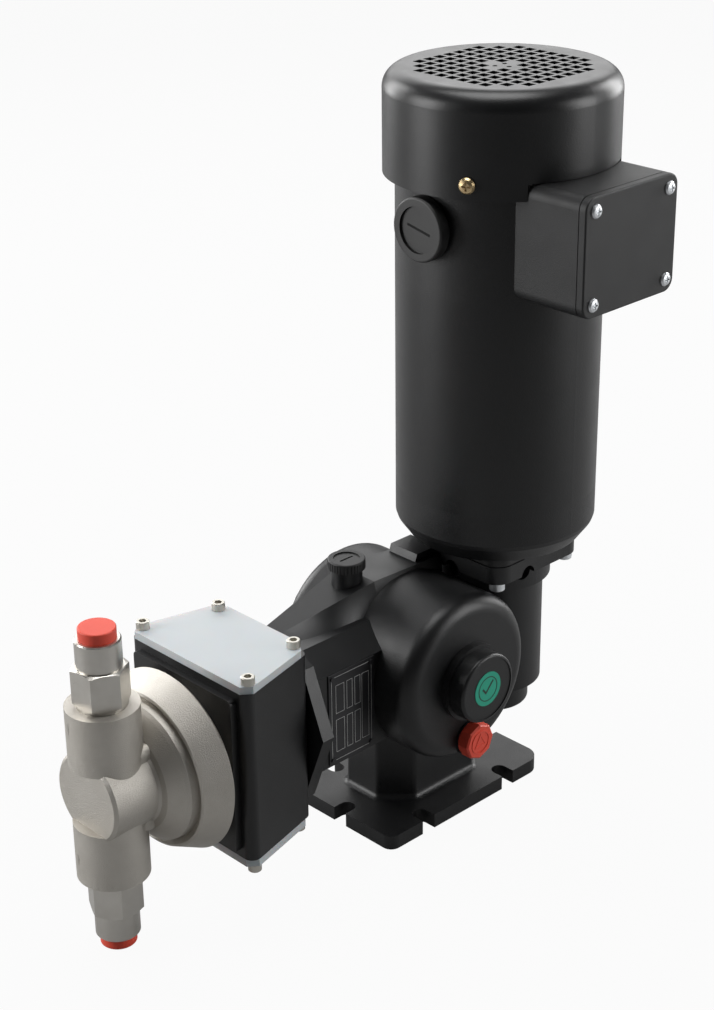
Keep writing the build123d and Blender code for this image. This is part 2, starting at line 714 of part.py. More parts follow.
def lantern_box():
    """Trapezoid box, open above and below, with a raised pad that the head seats on."""
    solid = lantern_prism(0, lantern_low, lantern_high, lantern_corner)
    pad = prism_y([(-pad_half_x, axis_z - pad_half_z), (pad_half_x, axis_z - pad_half_z),
                   (pad_half_x, axis_z + pad_half_z), (-pad_half_x, axis_z + pad_half_z)],
                  head_rear_y, lantern_front_y + 1)
    solid += fillet(pad.edges().filter_by(Axis.Y), 3)
    solid -= lantern_prism(lantern_wall, lantern_low - 1, lantern_high + 1, 3)
    for x, y in cover_screw_places():
        for z0, z1 in ((lantern_low, lantern_low + 16), (lantern_high - 16, lantern_high)):
            post = cyl_z(cover_screw_r + 3.5, z0, z1, x, y) & lantern_prism(0.5, z0, z1, lantern_corner)
            solid += post
    solid -= cyl_y(plunger_window_r, lantern_rear_y + 1, lantern_rear_y - lantern_wall - 1, 0, axis_z)
    solid -= cyl_y(gland_window_r, lantern_front_y + lantern_wall + 1, head_rear_y - 1, 0, axis_z)
    for x, z in neck_bolt_places():
        solid -= cyl_y(cover_screw_r + screw_gap, lantern_rear_y + 1, lantern_rear_y - lantern_wall - 1, x, z)
    for x, z in head_bolt_places():
        solid -= cyl_y(head_bolt_r + screw_gap, lantern_front_y + lantern_wall + 1, head_rear_y - 1, x, z)
    for x, y in cover_screw_places():
        solid -= cyl_z(cover_screw_r, lantern_high - 12, lantern_high + 1, x, y)
        solid -= cyl_z(cover_screw_r, lantern_low - 1, lantern_low + 12, x, y)
    return solid


def head_bolt_places():
    return [(sx * head_bolt_off, axis_z + sz * head_bolt_off) for sx in (-1, 1) for sz in (-1, 1)]


def cover_screw_places():
    inset = cover_screw_inset
    front_x = lantern_front_half - inset
    rear_x = lantern_rear_half - inset + 1.5
    return [(-front_x, lantern_front_y + inset), (front_x, lantern_front_y + inset),
            (rear_x, lantern_rear_y - inset), (-rear_x, lantern_rear_y - inset)]


def splash_cover(z0, z1):
    """Plastic plate over the open top or bottom, the outline of the lantern."""
    plate = prism_z(lantern_outline(0), z0, z1)
    plate = chamfer(plate.edges().filter_by(Axis.Z), cover_cut)
    for x, y in cover_screw_places():
        plate -= cyl_z(cover_screw_r + screw_gap, z0 - 1, z1 + 1, x, y)
    return plate


def cover_screws():
    solids = []
    for x, y in cover_screw_places():
        solids.append(oriented(socket_screw(cover_screw_r - 0.02, lantern_cover + 10), "+z",
                               x, y, lantern_high + lantern_cover))
        solids.append(oriented(socket_screw(cover_screw_r - 0.02, lantern_cover + 10), "-z",
                               x, y, lantern_low - lantern_cover))
    return group(solids)


def lantern_screws():
    return group([oriented(socket_screw(cover_screw_r, lantern_wall + neck_flange_thick), "-y",
                           x, lantern_rear_y - lantern_wall, z) for x, z in neck_bolt_places()])


def head_screws():
    return group([oriented(socket_screw(head_bolt_r, lantern_wall + pad_thick + 8), "+y",
                           x, lantern_front_y + lantern_wall, z) for x, z in head_bolt_places()])


def along(y):
    """Distance towards the head from the plane y = 0."""
    return -y


def pump_head():
    """Cast stainless head: dished flange, boss, chamber and two valve housings."""
    profile = [(0, along(head_rear_y)), (head_spigot_r, along(head_rear_y)),
               (head_spigot_r, along(head_rim_rear)), (head_r - 2, along(head_rim_rear)),
               (head_r, along(head_rim_rear) + 2), (head_rim_front_r, along(head_rim_front)),
               (head_rim_front_r - 1.5, along(head_rim_front) + 0.6),
               (boss_r + 1, along(head_rim_front) - 1.5),
               (boss_r, along(boss_front_y)), (boss_r - 2, along(boss_front_y) + 2),
               (boss_small_r, along(boss_small_y)), (chamber_r_out + 1, along(boss_small_y) + 1),
               (chamber_r_out, along(boss_small_y) + 3), (chamber_r_out, along(chamber_front_y) - 2),
               (chamber_r_out - 2, along(chamber_front_y)), (0, along(chamber_front_y))]
    solid = turned(profile, "-y", 0, 0, axis_z)
    solid += cyl_z(valve_r_out, axis_z - valve_half, axis_z + valve_half, 0, valve_y)
    solid -= block(-60, 60, chamber_front_y - 60, chamber_front_y, axis_z - 20, axis_z + 20)
    rib = block(-rib_half_x, rib_half_x, valve_y, boss_small_y + 8, axis_z - rib_half_z,
                axis_z + rib_half_z)
    solid += fillet(rib.edges().filter_by(Axis.Y), 5)
    # Packing bore, chamber and valve bores
    solid -= cyl_y(packing_r, head_rear_y + 1, packing_end_y, 0, axis_z)
    solid -= cyl_y(chamber_bore_r, head_rear_y + 1, chamber_front_y + 8, 0, axis_z)
    solid -= cyl_z(7, axis_z - 30, axis_z + 30, 0, valve_y)
    solid -= cyl_z(valve_bore_r, axis_z + valve_inner, axis_z + valve_half + 1, 0, valve_y)
    solid -= cyl_z(valve_bore_r, axis_z - valve_half - 1, axis_z - valve_inner, 0, valve_y)
    for x, z in head_bolt_places():
        solid -= cyl_y(head_bolt_r, head_rear_y + 1, head_rear_y - 12, x, z)
    return solid


def packing():
    rings = []
    for i in range(packing_rings):
        y0 = packing_front_y - i * packing_thick
        ring = cyl_y(packing_r - 0.05, y0, y0 - packing_thick + 0.1, 0, axis_z)
        rings.append(ring - cyl_y(plunger_r + run_gap, y0 + 1, y0 - packing_thick, 0, axis_z))
    return group(rings)


def gland():
    """Flanged follower that presses the packing, reached through the lantern."""
    solid = oriented(hexagon_bar(gland_flats, 0, gland_proud, 0, 0), "+y", 0, head_rear_y, axis_z)
    solid += cyl_y(packing_r - seat_gap, head_rear_y + 1, packing_front_y, 0, axis_z)
    return solid - cyl_y(plunger_r + run_gap, head_rear_y + gland_proud + 1, packing_end_y, 0, axis_z)


def cartridge(sign):
    """Hexagon nipple with a plain pipe end and a threaded spigot."""
    face = valve_half
    spigot = Cylinder(valve_bore_r - seat_gap, spigot_long + hex_gap)
    spigot = Pos(0, 0, face - spigot_long / 2 + hex_gap / 2) * spigot
    bar = extrude(RegularPolygon(hex_flats / 2, 6, major_radius=False), hex_high)
    flat_r = hex_flats / 2 - 0.3
    corner_r = hex_flats / 2 + 2.5
    cone = turned([(0, 0), (flat_r, 0), (corner_r, 1.6), (corner_r, hex_high - 1.6),
                   (flat_r, hex_high), (0, hex_high)], "z")
    bar = Pos(0, 0, face + hex_gap) * (bar & cone)
    pipe_low = face + hex_gap + hex_high
    pipe = Pos(0, 0, pipe_low + pipe_high / 2 - 1) * Cylinder(pipe_r, pipe_high + 2)
    pipe = chamfer(pipe.edges().sort_by(Axis.Z)[-1], 0.8)
    bore = Pos(0, 0, face + 20) * Cylinder(pipe_bore_r, 100)
    solid = Rot(0, 0, 4 if sign > 0 else 25) * (spigot + bar + pipe - bore)
    return Pos(0, valve_y, axis_z) * (solid if sign > 0 else Rot(180, 0, 0) * solid)


def valve_seat(z0):
    seat = cyl_z(valve_bore_r - seat_gap, z0, z0 + seat_thick, 0, valve_y)
    return seat - cyl_z(seat_bore_r, z0 - 1, z0 + seat_thick + 1, 0, valve_y)


def valve_cage(z0, z1):
    cage = cyl_z(valve_bore_r - seat_gap, z0, z1, 0, valve_y)
    cage -= cyl_z(ball_r + move_gap, z0 - 1, z1 + 1, 0, valve_y)
    slot = block(-valve_bore_r, valve_bore_r, valve_y - 2, valve_y + 2, z0 + 3, z1 - 3)
    cross = block(-2, 2, valve_y - valve_bore_r, valve_y + valve_bore_r, z0 + 3, z1 - 3)
    stop = block(-ball_r - 1, ball_r + 1, valve_y - 1.5, valve_y + 1.5, z1 - stop_thick, z1)
    return cage - slot - cross + stop


def ball(seat_z):
    return Pos(0, valve_y, seat_z + seat_thick + ball_seat) * Sphere(ball_r)


def transport_plug(sign):
    """Push-in plastic plug that keeps dirt out of the pipe end."""
    end = valve_half + hex_gap + hex_high + pipe_high
    top = Pos(0, 0, end + plug_proud / 2) * Cylinder(plug_r, plug_proud)
    top = fillet(top.edges().sort_by(Axis.Z)[-1], 0.8)
    stem = Pos(0, 0, end - 5) * Cylinder(pipe_bore_r - run_gap, 10)
    solid = top + stem - Pos(0, 0, end - 6) * Cylinder(pipe_bore_r - 1.5, 10)
    return Pos(0, valve_y, axis_z) * (solid if sign > 0 else Rot(180, 0, 0) * solid)


def filler_cap():
    knob = Cylinder(filler_cap_r, filler_cap_high)
    knob = fillet(knob.edges().sort_by(Axis.Z)[-1], 1)
    for i in range(36):
        knob -= Rot(0, 0, i * 10) * Pos(filler_cap_r + 0.25, 0, -1) * Cylinder(0.6, filler_cap_high)
    knob -= Pos(0, 0, filler_cap_high / 2) * Cylinder(filler_cap_r - 3.6, 1.6)
    knob -= Pos(0, 0, filler_cap_high / 2) * Box(1.4, 11, 3.4)
    stem = Pos(0, 0, -filler_cap_high / 2 - 5) * Cylinder(filler_thread_r - run_gap, 10)
    return Pos(filler_x, filler_y, filler_seat_z + seat_gap + filler_cap_high / 2) * (knob + stem)


def oil_plug():
    """Eight-sided plastic plug with a raised ring on its face, a washer and a threaded stem."""
    bar = extrude(RegularPolygon(oil_plug_flats / 2, 8, major_radius=False), oil_plug_high)
    bar = chamfer(bar.faces().sort_by(Axis.Z)[-1].edges(), 1.0)
    ring = Pos(0, 0, oil_plug_high) * (Cylinder(8.2, 0.8) - Cylinder(7.2, 0.8))
    washer = Pos(0, 0, -oil_washer / 2) * Cylinder(oil_boss_r - 1, oil_washer)
    stem = Pos(0, 0, -oil_washer - 5) * Cylinder(oil_plug_thread_r - seat_gap, 10)
    return oriented(bar + ring + washer + stem, "+x", oil_boss_x + oil_washer, oil_plug_y, oil_plug_z)


def drive_shield():
    """Motor's drive-end shield: square flange, rounded shoulder, bearing seat."""
    low = shield_low
    plate = rounded_plate(flange_half, flange_half, low, low + 7, flange_corner, motor_x, motor_y)
    outer = turned([(0, low + 4), (flange_half + 11, low + 4), (flange_half + 16, low + 6.5),
                    (body_r - 1, shield_neck_z - 3), (body_r, shield_neck_z), (body_r, shield_top),
                    (0, shield_top)], "z", motor_x, motor_y)
    inner_r = body_r - body_wall
    inner = turned([(0, low + 26), (inner_r - 7, low + 26), (inner_r, shield_neck_z + 8),
                    (inner_r, shield_top + 1), (0, shield_top + 1)], "z", motor_x, motor_y)
    solid = plate + outer - inner
    solid -= cyl_z(motor_bearing_r, low + 12, shield_top, motor_x, motor_y)
    solid -= cyl_z(motor_shaft_r + 2, low - 1, shield_top, motor_x, motor_y)
    for dx in (-flange_bolt, flange_bolt):
        for dy in (-flange_bolt, flange_bolt):
            solid -= cyl_z(flange_bolt_r, low - 1, low + 11, motor_x + dx, motor_y + dy)
    return solid


def flange_gasket():
    low = flange_low + flange_thick
    half = flange_half - 2
    solid = rounded_plate(half, half, low, low + flange_gap, flange_corner - 2, motor_x, motor_y)
    solid -= cyl_z(worm_in, low - 1, low + 2, motor_x, motor_y)
    for dx in (-flange_bolt, flange_bolt):
        for dy in (-flange_bolt, flange_bolt):
            solid -= cyl_z(flange_bolt_r + screw_gap, low - 1, low + 2, motor_x + dx, motor_y + dy)
    return solid


def flange_screws():
    solids = []
    for dx in (-flange_bolt, flange_bolt):
        for dy in (-flange_bolt, flange_bolt):
            solids.append(oriented(socket_screw(flange_bolt_r, flange_thick + flange_gap + 9), "-z",
                                   motor_x + dx, motor_y + dy, flange_low))
    return group(solids)


def stator_frame():
    tube = cyl_z(body_r, shield_top, stator_top, motor_x, motor_y)
    return tube - cyl_z(body_r - body_wall, shield_top - 1, stator_top + 1, motor_x, motor_y)


def stator_core():
    """Laminated core with the winding heads standing out at both ends."""
    outer = body_r - body_wall - 0.05
    low = shield_top + coil_overhang + 8
    high = stator_top - coil_overhang - 2
    core = cyl_z(outer, low, high, motor_x, motor_y)
    coil = cyl_z((outer + rotor_r) / 2 + 6, low - coil_overhang, high + coil_overhang, motor_x, motor_y)
    bore = cyl_z(rotor_r + rotor_air, shield_top, stator_top, motor_x, motor_y)
    below = cyl_z(rotor_r + 6, shield_top, low, motor_x, motor_y)
    above = cyl_z(rotor_r + 6, high, stator_top, motor_x, motor_y)
    return core + coil - bore - below - above


def end_bracket():
    """Non-drive end bracket: skirt, floor with the upper bearing, three cowl lugs."""
    tube = cyl_z(body_r, stator_top, bracket_top, motor_x, motor_y)
    tube -= cyl_z(body_r - body_wall, stator_top - 1, bracket_floor, motor_x, motor_y)
    for azimuth in cowl_screw_azimuths:
        lug = block(body_r - body_wall, cowl_r, -cowl_lug_half, cowl_lug_half, cowl_rim + 1, bracket_top)
        lug &= cyl_z(cowl_r - cowl_wall - seat_gap, cowl_rim, bracket_top, 0, 0)
        tube += Pos(motor_x, motor_y, 0) * Rot(0, 0, azimuth) * lug
    tube += cyl_z(motor_bearing_r + 4, bracket_floor - 4, bracket_floor + 1, motor_x, motor_y)
    tube -= cyl_z(motor_bearing_r, bracket_floor - 5, bracket_floor + 6.5, motor_x, motor_y)
    tube -= cyl_z(motor_shaft_r + 1, bracket_floor - 5, bracket_top + 1, motor_x, motor_y)
    for azimuth in cowl_screw_azimuths:
        hole = cyl_x(cowl_screw_r, body_r - body_wall, cowl_r + 1, 0, cowl_screw_z)
        tube -= Pos(motor_x, motor_y, 0) * Rot(0, 0, azimuth) * hole
    boss = cyl_y(blank_boss_r, motor_y - body_r + 12, motor_y - body_r - blank_boss_proud, blank_x, blank_z)
    tube += boss - cyl_z(body_r - body_wall, stator_top, bracket_top, motor_x, motor_y)
    tube -= cyl_y(blank_thread_r, motor_y - body_r - 20, motor_y - body_r + 14, blank_x, blank_z)
    return tube - wire_hole()


def wire_hole():
    """Opening for the wires through the motor's skirt and the back of the terminal box."""
    return block(motor_x + body_r / 2, motor_x + body_r + box_saddle + 2, motor_y - wire_hole_half,
                 motor_y + wire_hole_half, wire_hole_low, wire_hole_low + 2 * wire_hole_half)


def blanking_plug():
    """Slotted plug that closes the spare cable entry."""
    y0 = motor_y - body_r - blank_boss_proud - seat_gap
    rim = cyl_y(blank_r, y0, y0 - blank_high, blank_x, blank_z)
    rim = fillet(rim.edges().sort_by(Axis.Y)[0], 1.5)
    rim -= cyl_y(blank_r - 5.5, y0 - blank_high + 2, y0 - blank_high - 1, blank_x, blank_z)
    slot = Pos(blank_x, y0 - blank_high + 2, blank_z) * Rot(0, -25, 0) * Box(19, 3, 1.8)
    stem = cyl_y(blank_thread_r - seat_gap, y0, y0 + 9, blank_x, blank_z)
    return rim - slot + stem


def motor_bearings():
    one = group(bearing(motor_bearing_r - 0.02, motor_shaft_r + 0.02, motor_bearing_wide))
    low = Pos(motor_x, motor_y, shield_low + 12) * one
    high = Pos(motor_x, motor_y, bracket_floor - 4.5) * one
    return group(low.solids() + high.solids())


def rotor_shaft():
    """Motor shaft; its lower end keys into the worm."""
    shaft = cyl_z(motor_shaft_r, shield_low + 3, fan_low + fan_high, motor_x, motor_y)
    return shaft + cyl_z(motor_end_r, upper_bearing_z + 3, shield_low + 3, motor_x, motor_y)


def rotor_core():
    core = cyl_z(rotor_r, shield_top + coil_overhang + 6, stator_top - coil_overhang, motor_x, motor_y)
    return core - cyl_z(motor_shaft_r + 0.02, shield_top, stator_top, motor_x, motor_y)


def cooling_fan():
    fan = cyl_z(fan_r, fan_low, fan_low + fan_plate, 0, 0)
    fan += cyl_z(motor_shaft_r + fan_hub_wall, fan_low, fan_low + fan_high - 2, 0, 0)
    for i in range(fan_blades):
        blade = block(motor_shaft_r + fan_hub_wall - 2, fan_r - 1, -fan_blade_thick / 2,
                      fan_blade_thick / 2, fan_low + 1, fan_low + fan_high)
        fan += Rot(0, 0, i * 360 / fan_blades) * blade
    fan -= cyl_z(motor_shaft_r + 0.02, fan_low - 1, fan_low + fan_high + 1, 0, 0)
    return Pos(motor_x, motor_y, 0) * fan


def fan_cowl():
    """Deep-drawn cowl with a grille of square holes round a solid hub."""
    outer = cyl_z(cowl_r, cowl_rim, cowl_top, 0, 0)
    outer = fillet(outer.edges().sort_by(Axis.Z)[-1], cowl_round)
    inner = cyl_z(cowl_r - cowl_wall, cowl_rim - 1, cowl_top - cowl_wall, 0, 0)
    inner = fillet(inner.edges().sort_by(Axis.Z)[-1], cowl_round - cowl_wall)
    cowl = outer - inner
    count = int(grille_r / grille_pitch)
    holes = []
    for i in range(-count, count + 1):
        for j in range(-count, count + 1):
            x = i * grille_pitch
            y = j * grille_pitch
            if grille_hub_r < math.hypot(x, y) < grille_r - grille_hole / 2:
                holes.append(Pos(x, y, cowl_top) * Box(grille_hole, grille_hole, 3 * cowl_wall))
    cowl -= holes
    for a in range(3):
        cowl -= Rot(0, 0, a * 120) * Pos(hub_hole_off, 0, cowl_top) * Cylinder(hub_hole_r, 3 * cowl_wall)
    for azimuth in cowl_screw_azimuths:
        cowl -= Rot(0, 0, azimuth) * cyl_x(cowl_screw_r + screw_gap, cowl_r - 6, cowl_r + 2, 0, cowl_screw_z)
    notch = block(body_r - 10, cowl_r + 5, -box_half_y - move_gap, box_half_y + move_gap,
                  cowl_rim - 1, box_high + move_gap)
    return Pos(motor_x, motor_y, 0) * (cowl - notch)


def cowl_screws():
    solids = []
    for azimuth in cowl_screw_azimuths:
        screw = pan_screw(cowl_screw_r - 0.02, 2 * cowl_screw_r, cowl_screw_long)
        screw = Pos(cowl_r + 0.05, 0, cowl_screw_z) * Rot(0, 90, 0) * screw
        solids.append(Pos(motor_x, motor_y, 0) * Rot(0, 0, azimuth) * screw)
    return group(solids)


def terminal_box():
    """Cast box on the side of the motor; its saddle follows the motor's round body."""
    face = box_face_x - box_cover - box_seal
    body = block(motor_x + body_r / 2, face, motor_y - box_half_y, motor_y + box_half_y, box_low, box_high)
    body = fillet(body.edges().filter_by(Axis.X), box_corner)
    body -= cyl_z(body_r + 0.02, box_low - 1, box_high + 1, motor_x, motor_y)
    hollow = block(motor_x + body_r + box_saddle, face + 1, motor_y - box_half_y + box_wall,
                   motor_y + box_half_y - box_wall, box_low + box_wall, box_high - box_wall)
    body -= fillet(hollow.edges().filter_by(Axis.X), box_corner - box_wall)
    body -= wire_hole()
    body -= cyl_y(cable_entry_r, motor_y + box_half_y - box_wall - 1, motor_y + box_half_y + 1,
                  cable_entry_x, cable_entry_z)
    for y, z in box_screw_places():
        body += cyl_x(box_post_r, face - box_post_long, face, y, z)
        body -= cyl_x(box_screw_r, face - box_screw_long - 2, face + 1, y, z)
    return body


def box_screw_places():
    return [(motor_y + sy * (box_half_y - box_screw_inset), (box_low + box_high) / 2
             + sz * ((box_high - box_low) / 2 - box_screw_inset)) for sy in (-1, 1) for sz in (-1, 1)]


def box_gasket():
    face = box_face_x - box_cover - box_seal
    outer_y = box_half_y - 0.8
    inner_y = box_half_y - 4
    ring = block(face, face + box_seal, motor_y - outer_y, motor_y + outer_y, box_low + 0.8, box_high - 0.8)
    ring = fillet(ring.edges().filter_by(Axis.X), box_corner - 1)
    ring -= block(face - 1, face + 2, motor_y - inner_y, motor_y + inner_y, box_low + 4, box_high - 4)
    for y, z in box_screw_places():
        ring -= cyl_x(box_screw_r + screw_gap, face - 1, face + 2, y, z)
    return ring


def box_cover_plate():
    face = box_face_x - box_cover
    lid = block(face, box_face_x, motor_y - box_half_y, motor_y + box_half_y, box_low, box_high)
    lid = fillet(lid.edges().filter_by(Axis.X), box_corner)
    lid = fillet(lid.faces().sort_by(Axis.X)[-1].edges(), 1.2)
    for y, z in box_screw_places():
        lid -= cyl_x(box_screw_r + screw_gap, face - 1, box_face_x + 1, y, z)
    return lid


def box_screws():
    screw = pan_screw(box_screw_r - 0.02, 2.1 * box_screw_r, box_cover + box_screw_long)
    return group([oriented(screw, "+x", box_face_x + 0.02, y, z) for y, z in box_screw_places()])


def terminal_block():
    x0 = motor_x + body_r + box_saddle
    z0 = wire_hole_low + 2 * wire_hole_half + 2
    base = block(x0, x0 + 8, motor_y - 22, motor_y + 22, z0, z0 + 20)
    studs = [cyl_x(2, x0 + 7, x0 + 18, motor_y + dy, z0 + dz) for dy in (-14, 0, 14) for dz in (5, 15)]
    return base + studs


def setting_rod():
    x0 = -barrel_x - setting_boss_long - knob_long + 3
    x1 = -barrel_x + cover_in + cover_thick + 4
    return cyl_x(setting_screw_r, x0, x1, wheel_y, axis_z)


def setting_knob():
    """Fluted hand knob with a graduated skirt."""
    x0 = -barrel_x - setting_boss_long - move_gap
    grip = Pos(0, 0, knob_long / 2) * Cylinder(knob_r - 3, knob_long)
    grip = fillet(grip.edges().sort_by(Axis.Z)[-1], 2)
    for i in range(12):
        grip -= Rot(0, 0, i * 30) * Pos(knob_r - 1, 0, knob_long / 2 + 7) * Cylinder(3.2, knob_long)
    skirt = turned([(0, 0), (knob_r, 0), (knob_r, knob_skirt), (knob_r - 3, knob_skirt + 3),
                    (0, knob_skirt + 3)], "z")
    bore = Pos(0, 0, 6) * Cylinder(setting_screw_r + run_gap, 20)
    return oriented(grip + skirt - bore, "-x", x0, wheel_y, axis_z)


builders = {
    "gearbox_housing": gearbox_housing,
    "nameplate": nameplate,
    "side_cover": side_cover,
    "cover_circlip": cover_circlip,
    "cover_oring": cover_oring,
    "bearing_cap": bearing_cap,
    "worm_cap": worm_cap,
    "worm": worm,
    "worm_bearings": worm_bearings,
    "worm_wheel": worm_wheel,
    "eccentric_shaft": eccentric_shaft,
    "eccentric_ring": eccentric_ring_solid,
    "shaft_bearings": shaft_bearings,
    "crosshead": crosshead,
    "thrust_pad": thrust_pad,
    "plunger": plunger,
    "return_spring": return_spring,
    "guide_plate": guide_plate,
    "rod_seal": rod_seal,
    "lantern_box": lantern_box,
    "top_splash_cover": lambda: splash_cover(lantern_high, lantern_high + lantern_cover),
    "bottom_splash_cover": lambda: splash_cover(lantern_low - lantern_cover, lantern_low),
    "cover_screws": cover_screws,
    "lantern_screws": lantern_screws,
    "head_screws": head_screws,
    "pump_head": pump_head,
    "packing_rings": packing,
    "gland": gland,
    "discharge_connection": lambda: cartridge(1),
    "suction_connection": lambda: cartridge(-1),
    "discharge_seat": lambda: valve_seat(discharge_seat_z),
    "suction_seat": lambda: valve_seat(suction_seat_z),
    "discharge_cage": lambda: valve_cage(discharge_seat_z + seat_thick, axis_z + valve_half - spigot_long),
    "suction_cage": lambda: valve_cage(suction_seat_z + seat_thick, axis_z - valve_inner),
    "discharge_ball": lambda: ball(discharge_seat_z),
    "suction_ball": lambda: ball(suction_seat_z),
    "discharge_plug": lambda: transport_plug(1),
    "suction_plug": lambda: transport_plug(-1),
    "filler_cap": filler_cap,
    "oil_plug": oil_plug,
    "drive_shield": drive_shield,
    "flange_gasket": flange_gasket,
    "flange_screws": flange_screws,
    "stator_frame": stator_frame,
    "stator_core": stator_core,
    "end_bracket": end_bracket,
    "blanking_plug": blanking_plug,
    "motor_bearings": motor_bearings,
    "rotor_shaft": rotor_shaft,
    "rotor_core": rotor_core,
    "cooling_fan": cooling_fan,
    "fan_cowl": fan_cowl,
    "cowl_screws": cowl_screws,
    "terminal_box": terminal_box,
    "terminal_gasket": box_gasket,
    "terminal_cover": box_cover_plate,
    "terminal_screws": box_screws,
    "terminal_block": terminal_block,
    "setting_rod": setting_rod,
    "setting_knob": setting_knob,
}

os.makedirs("parts", exist_ok=True)
for name, build in builders.items():
    export_step(build(), f"parts/{name}.step")
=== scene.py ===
import math

import bpy
from mathutils import Matrix, Vector


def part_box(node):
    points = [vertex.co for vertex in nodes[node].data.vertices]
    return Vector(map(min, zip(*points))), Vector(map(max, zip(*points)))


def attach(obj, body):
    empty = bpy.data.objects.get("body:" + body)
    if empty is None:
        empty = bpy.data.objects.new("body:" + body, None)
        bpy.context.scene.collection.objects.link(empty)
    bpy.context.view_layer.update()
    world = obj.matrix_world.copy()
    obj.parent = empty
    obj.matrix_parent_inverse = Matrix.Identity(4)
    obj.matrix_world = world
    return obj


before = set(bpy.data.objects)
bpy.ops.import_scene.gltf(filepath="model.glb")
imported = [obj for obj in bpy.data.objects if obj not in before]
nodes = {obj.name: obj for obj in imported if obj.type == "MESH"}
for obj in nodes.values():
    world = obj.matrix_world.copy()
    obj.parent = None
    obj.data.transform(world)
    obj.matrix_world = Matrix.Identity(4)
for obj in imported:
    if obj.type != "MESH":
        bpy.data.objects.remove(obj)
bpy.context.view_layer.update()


# Gearbox, motor and lantern in black satin paint
# Cast aluminium and drawn sheet, sprayed with one coat of satin black. The castings keep a
# fine grain under the paint, the drawn cowl is smoother and the terminal box is duller.
class Value:
    """A number that changes over a surface, so that a formula on it reads as plain arithmetic."""

    def __init__(self, socket):
        self.socket = socket

    def calculate(self, operation, first, second):
        tree = self.socket.id_data
        node = tree.nodes.new("ShaderNodeMath")
        node.operation = operation
        for place, value in enumerate((first, second)):
            if isinstance(value, Value):
                tree.links.new(value.socket, node.inputs[place])
            else:
                node.inputs[place].default_value = value
        return Value(node.outputs[0])

    def __add__(self, other):
        return self.calculate("ADD", self, other)

    def __radd__(self, other):
        return self.calculate("ADD", other, self)

    def __mul__(self, other):
        return self.calculate("MULTIPLY", self, other)

    def __rmul__(self, other):
        return self.calculate("MULTIPLY", other, self)


class Finish:
    """One material: its constants on the shader, and a method that adds any other node."""

    def __init__(self, name, **constants):
        self.material = bpy.data.materials.new(name)
        self.material.use_nodes = True
        self.tree = self.material.node_tree
        self.shader = self.tree.nodes["Principled BSDF"]
        for words, value in constants.items():
            self.looks(words.replace("_", " ").title(), value)
        self.place = Value(self.add("ShaderNodeTexCoord").outputs["Object"])

    def fill(self, node, name, value):
        """Gives a node's socket a link or a constant."""
        socket = next(s for s in node.inputs if s.enabled and s.name == name)
        if isinstance(value, Value):
            self.tree.links.new(value.socket, socket)
        elif isinstance(value, tuple) and len(socket.default_value) == 4 and len(value) == 3:
            socket.default_value = (*value, 1)
        else:
            socket.default_value = value

    def add(self, kind, settings=None, **sockets):
        """Adds a node of any kind, with its settings first and then its sockets."""
        node = self.tree.nodes.new(kind)
        for name, value in (settings or {}).items():
            setattr(node, name, value)
        for name, value in sockets.items():
            self.fill(node, name, value)
        return node

    def noise(self, scale, detail=2.0, roughness=0.5):
        node = self.add("ShaderNodeTexNoise", Vector=self.place, Scale=scale, Detail=detail,
                        Roughness=roughness)
        return Value(node.outputs[0])

    def blend(self, factor, first, second):
        node = self.add("ShaderNodeMix", {"data_type": "RGBA"}, Factor=factor, A=first, B=second)
        return Value(next(s for s in node.outputs if s.enabled))

    def relief(self, height, depth, strength):
        node = self.add("ShaderNodeBump", Height=height, Distance=depth, Strength=strength)
        self.looks("Normal", Value(node.outputs[0]))

    def looks(self, name, value):
        self.fill(self.shader, name, value)

    def on(self, *pieces):
        """Puts the finish on pieces, each given as an object or as the name of a node."""
        for given in pieces:
            mesh = (nodes[given] if isinstance(given, str) else given).data
            mesh.materials.clear()
            mesh.materials.append(self.material)


def black_paint(name, grain, depth, gloss):
    """Satin black paint in soft clouds of two near blacks, over the grain of what it covers."""
    paint = Finish(name, metallic=0.0)
    deep, worn = (0.0035, 0.0037, 0.0042), (0.0055, 0.0057, 0.0062)
    paint.looks("Base Color", paint.blend(paint.noise(scale=18.0, detail=3.0), deep, worn))
    paint.looks("Roughness", gloss + 0.12 * paint.noise(scale=60.0))
    paint.relief(paint.noise(scale=grain), depth=depth, strength=0.5)
    return paint


cast_paint = black_paint("cast_black_paint", grain=1400.0, depth=0.0002, gloss=0.34)
cast_paint.on("gearbox_housing", "lantern_box", "drive_shield", "end_bracket", "bearing_cap",
              "worm_cap", "side_cover")
sheet_paint = black_paint("sheet_black_paint", grain=900.0, depth=0.0001, gloss=0.30)
sheet_paint.on("stator_frame", "fan_cowl")
box_paint = black_paint("box_black_paint", grain=2400.0, depth=0.00025, gloss=0.46)
box_paint.on("terminal_box", "terminal_cover")


# Black plastic parts
# Filler cap, plug of the spare cable entry, hand knob, cooling fan and terminal block: moulded
# in black plastic, duller than the paint.
black_plastic = Finish("black_plastic", base_color=(0.013, 0.013, 0.013), roughness=0.5)
black_plastic.relief(black_plastic.noise(scale=2600.0, detail=1.0), depth=0.0001, strength=0.4)
black_plastic.on("filler_cap", "blanking_plug", "setting_knob", "cooling_fan", "terminal_block")


